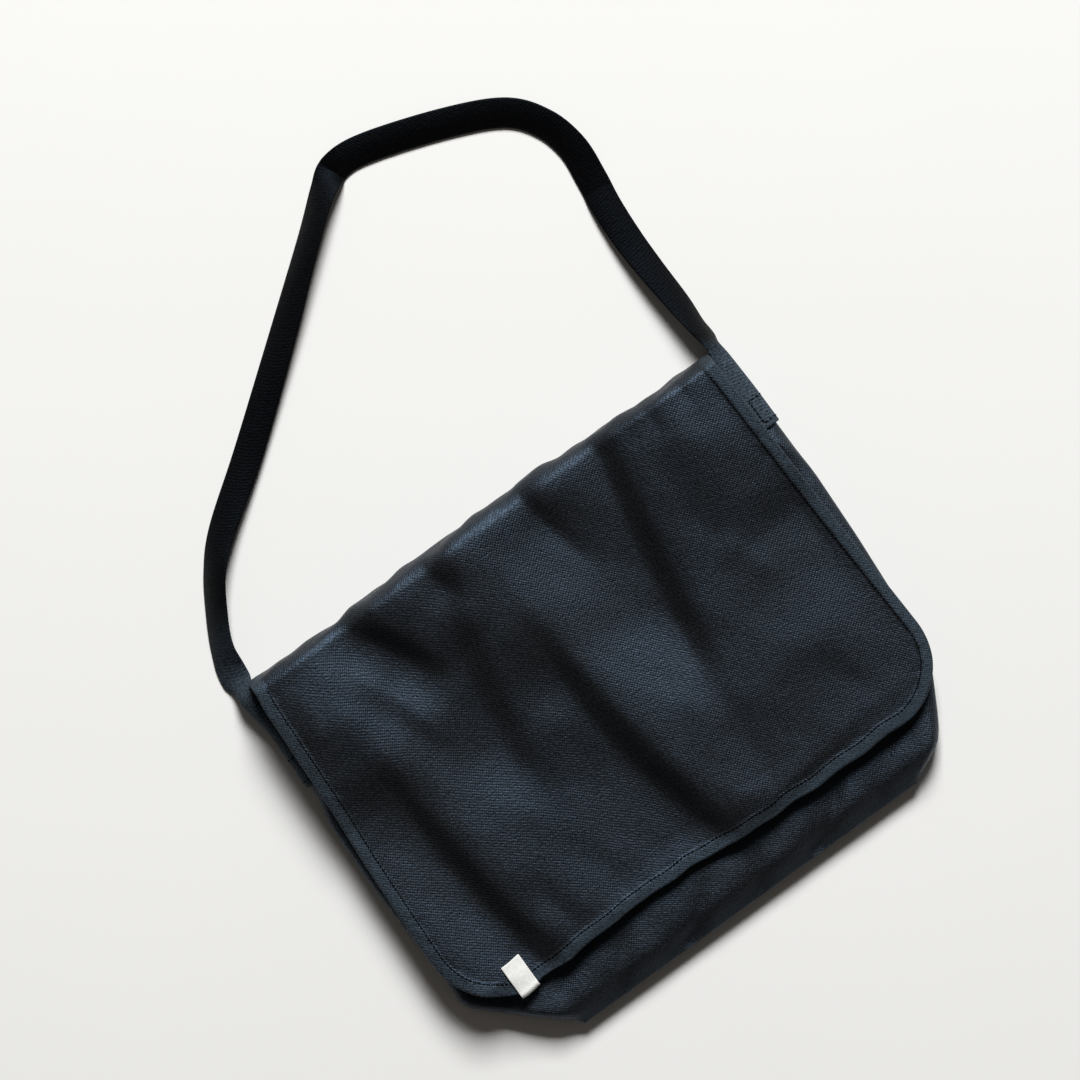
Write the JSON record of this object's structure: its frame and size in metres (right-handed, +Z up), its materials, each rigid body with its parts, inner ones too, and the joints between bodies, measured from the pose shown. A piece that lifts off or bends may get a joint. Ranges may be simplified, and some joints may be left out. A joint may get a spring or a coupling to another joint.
{
  "type": "flap shoulder tote bag",
  "caption": "Soft dark cloth shoulder bag lying on its back: a flat body with cut bottom corners, a hemmed flap over its front and a cloth strap sewn to both sides.",
  "frame": {"origin": "on the floor, under the middle of the back panel that the bag lies on", "axes": "+X to the bag's right as its front is seen, +Y from its bottom to its strap, +Z up from the floor through the front and the flap"},
  "size_m": [0.4302, 0.5994, 0.0456],
  "materials": {
    "bag_cloth": "plain woven polyester canvas, dark navy, matt with a faint sheen",
    "strap_cloth": "the same cloth folded to a flat band and stitched along both edges",
    "label_tape": "white woven tape, bare"
  },
  "bodies": {
    "root": {"back_panel": "bag_cloth", "back_bottom_roll": "bag_cloth", "back_left_roll": "bag_cloth", "back_right_roll": "bag_cloth", "front_panel": "bag_cloth", "front_bottom_roll": "bag_cloth", "front_left_roll": "bag_cloth", "front_right_roll": "bag_cloth", "flap": "bag_cloth", "strap": "strap_cloth", "label": "label_tape"}
  },
  "joints": []
}
